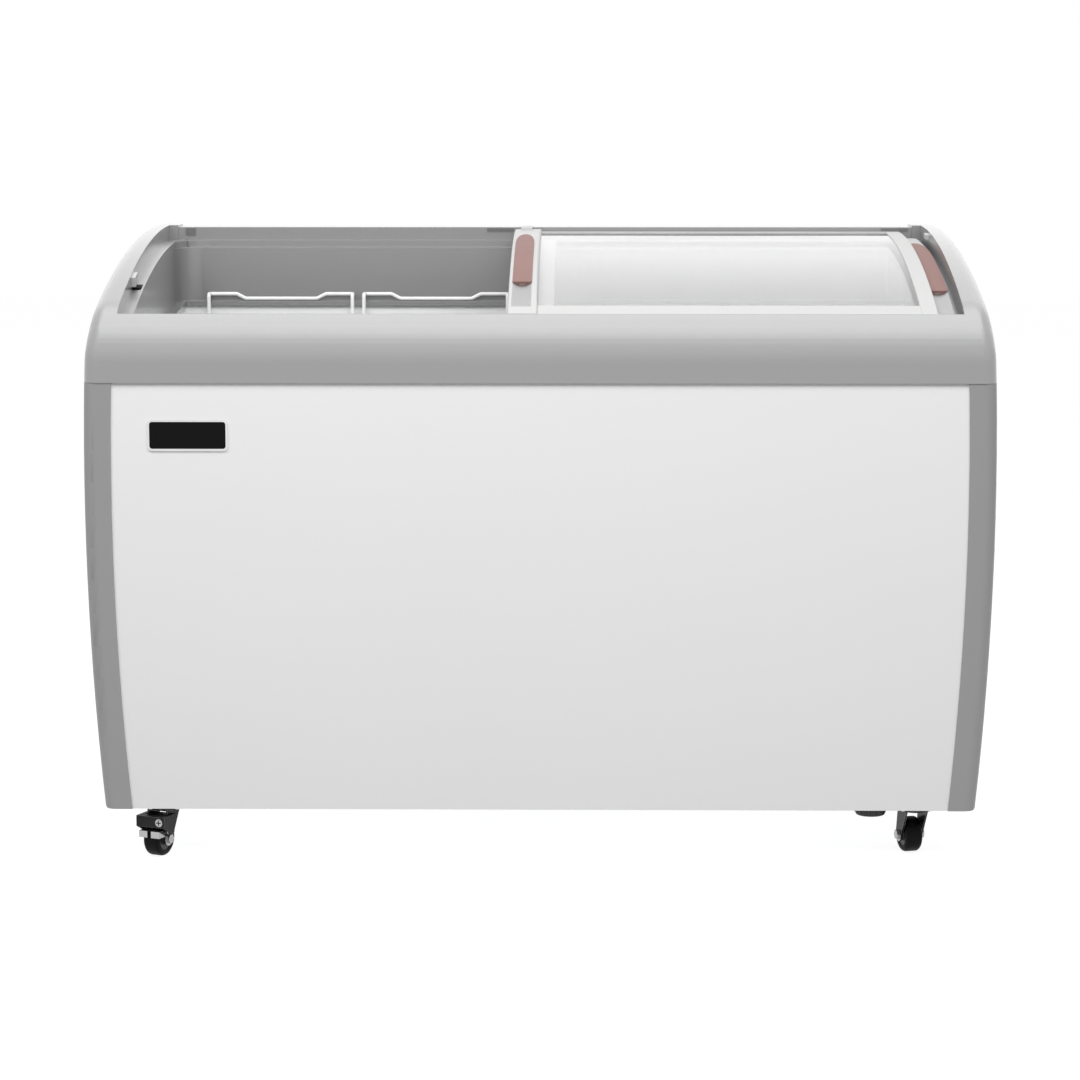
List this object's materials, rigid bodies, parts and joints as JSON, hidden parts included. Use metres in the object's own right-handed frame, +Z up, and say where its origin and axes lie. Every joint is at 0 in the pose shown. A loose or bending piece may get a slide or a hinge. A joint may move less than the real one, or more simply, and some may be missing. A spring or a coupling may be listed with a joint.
{
  "type": "chest freezer",
  "caption": "Chest freezer on casters with a curved top, overlapping sliding glass lids with grip handles, hanging wire baskets and a bulged cabinet with corner trims.",
  "frame": {"origin": "centre of the overall box in X and Y, on the floor plane under the casters", "axes": "+X to the right as seen from the front, -Y towards the front, +Z up"},
  "size_m": [1.27, 0.67, 0.873],
  "materials": {
    "frame_plastic": "satin",
    "trim_plastic": "satin",
    "panel_enamel": "gloss",
    "liner_white": "satin",
    "foam": "matte",
    "lid_glass": "polished",
    "lid_plastic": "satin",
    "grip_inlay": "satin",
    "scoop_silver": "satin",
    "glide_plastic": "matte",
    "stop_white": "satin",
    "basket_coating": "gloss",
    "plate_black": "gloss",
    "border_silver": "satin",
    "grille_plastic": "satin",
    "knob_plastic": "satin",
    "galvanised": "satin",
    "fork_steel": "gloss",
    "screw_steel": "satin",
    "wheel_tread": "satin",
    "brake_black": "satin",
    "compressor_enamel": "satin",
    "condenser_enamel": "satin",
    "motor_steel": "satin",
    "fan_plastic": "satin",
    "copper": "satin",
    "black_plastic": "satin"
  },
  "bodies": {
    "cabinet": {"top_frame": "frame_plastic", "rear_rail": "frame_plastic", "lid_stops": "stop_white", "inner_collar": "frame_plastic", "inner_liner": "liner_white", "foam_insulation": "foam", "front_panel": "panel_enamel", "rear_panel": "panel_enamel", "left_side_panel": "panel_enamel", "right_side_panel": "panel_enamel", "front_left_trim": "trim_plastic", "front_right_trim": "trim_plastic", "rear_left_trim": "trim_plastic", "rear_right_trim": "trim_plastic", "base_pan": "galvanised", "name_plate_border": "border_silver", "name_plate": "plate_black", "vent_grille": "grille_plastic", "compressor": "compressor_enamel", "condenser": "condenser_enamel", "fan_motor": "motor_steel", "filter_drier": "copper", "refrigerant_lines": "copper", "evaporator_tube": "copper", "thermostat_housing": "grille_plastic", "drain_tube": "black_plastic", "cord_gland": "black_plastic", "caster_plates": "galvanised", "screws": "screw_steel"},
    "upper_lid": {"upper_lid_glass": "lid_glass", "upper_lid_front_strip": "lid_plastic", "upper_lid_rear_strip": "lid_plastic", "upper_lid_side_strip": "lid_plastic", "upper_lid_handle": "lid_plastic", "upper_lid_grip": "grip_inlay", "upper_lid_scoop": "scoop_silver", "upper_lid_glides": "glide_plastic"},
    "lower_lid": {"lower_lid_glass": "lid_glass", "lower_lid_front_strip": "lid_plastic", "lower_lid_rear_strip": "lid_plastic", "lower_lid_side_strip": "lid_plastic", "lower_lid_handle": "lid_plastic", "lower_lid_grip": "grip_inlay", "lower_lid_scoop": "scoop_silver", "lower_lid_glides": "glide_plastic"},
    "left_basket": {"left_basket": "basket_coating"},
    "right_basket": {"right_basket": "basket_coating"},
    "fan": {"fan_blade": "fan_plastic"},
    "knob": {"thermostat_knob": "knob_plastic"},
    "drain_plug": {"drain_cap": "black_plastic"},
    "front_left_swivel": {"front_left_fork": "fork_steel"},
    "front_left_wheel": {"front_left_wheel": "wheel_tread"},
    "front_right_swivel": {"front_right_fork": "fork_steel"},
    "front_right_wheel": {"front_right_wheel": "wheel_tread"},
    "rear_left_swivel": {"rear_left_fork": "fork_steel"},
    "rear_left_wheel": {"rear_left_wheel": "wheel_tread"},
    "rear_right_swivel": {"rear_right_fork": "fork_steel"},
    "rear_right_wheel": {"rear_right_wheel": "wheel_tread"},
    "front_left_brake": {"front_left_brake_lever": "brake_black"},
    "rear_right_brake": {"rear_right_brake_lever": "brake_black"}
  },
  "joints": [
    {"name": "upper_lid_slide", "type": "slide", "parent": "cabinet", "child": "upper_lid", "axis": [1, 0, 0], "range_m": [-0.538, 0.027]},
    {"name": "lower_lid_slide", "type": "slide", "parent": "cabinet", "child": "lower_lid", "axis": [1, 0, 0], "range_m": [-0.532, 0]},
    {"name": "left_basket_lift", "type": "slide", "parent": "cabinet", "child": "left_basket", "axis": [0, 0, 1], "range_m": [0, 0.42]},
    {"name": "right_basket_lift", "type": "slide", "parent": "cabinet", "child": "right_basket", "axis": [0, 0, 1], "range_m": [0, 0.42]},
    {"name": "fan_spin", "type": "hinge", "parent": "cabinet", "child": "fan", "pos_m": [0.455, -0.143, 0.1703], "axis": [0, 1, 0], "continuous": true},
    {"name": "knob_turn", "type": "hinge", "parent": "cabinet", "child": "knob", "pos_m": [0.5, 0.306, 0.25], "axis": [0, 1, 0], "range_deg": [0, 270]},
    {"name": "drain_cap_turn", "type": "hinge", "parent": "cabinet", "child": "drain_plug", "pos_m": [0.47, -0.283, 0.065], "axis": [0, 0, 1], "continuous": true},
    {"name": "front_left_swivel_turn", "type": "hinge", "parent": "cabinet", "child": "front_left_swivel", "pos_m": [-0.533, -0.285, 0.06], "axis": [0, 0, 1], "continuous": true},
    {"name": "front_left_wheel_roll", "type": "hinge", "parent": "front_left_swivel", "child": "front_left_wheel", "pos_m": [-0.54114, -0.30327, 0.025], "axis": [-0.9135, 0.4067, 0], "continuous": true},
    {"name": "front_right_swivel_turn", "type": "hinge", "parent": "cabinet", "child": "front_right_swivel", "pos_m": [0.533, -0.285, 0.06], "axis": [0, 0, 1], "continuous": true},
    {"name": "front_right_wheel_roll", "type": "hinge", "parent": "front_right_swivel", "child": "front_right_wheel", "pos_m": [0.52782, -0.26568, 0.025], "axis": [0.9659, 0.2588, 0], "continuous": true},
    {"name": "rear_left_swivel_turn", "type": "hinge", "parent": "cabinet", "child": "rear_left_swivel", "pos_m": [-0.533, 0.285, 0.06], "axis": [0, 0, 1], "continuous": true},
    {"name": "rear_left_wheel_roll", "type": "hinge", "parent": "rear_left_swivel", "child": "rear_left_wheel", "pos_m": [-0.52953, 0.2653, 0.025], "axis": [-0.9848, -0.1736, 0], "continuous": true},
    {"name": "rear_right_swivel_turn", "type": "hinge", "parent": "cabinet", "child": "rear_right_swivel", "pos_m": [0.533, 0.285, 0.06], "axis": [0, 0, 1], "continuous": true},
    {"name": "rear_right_wheel_roll", "type": "hinge", "parent": "rear_right_swivel", "child": "rear_right_wheel", "pos_m": [0.52884, 0.26544, 0.025], "axis": [-0.9781, 0.2079, 0], "continuous": true},
    {"name": "front_left_brake_press", "type": "hinge", "parent": "front_left_swivel", "child": "front_left_brake", "pos_m": [-0.54337, -0.30829, 0.055], "axis": [-0.9135, 0.4067, 0], "range_deg": [-10, 0]},
    {"name": "rear_right_brake_press", "type": "hinge", "parent": "rear_right_swivel", "child": "rear_right_brake", "pos_m": [0.5277, 0.26006, 0.055], "axis": [-0.9781, 0.2079, 0], "range_deg": [-10, 0]}
  ]
}
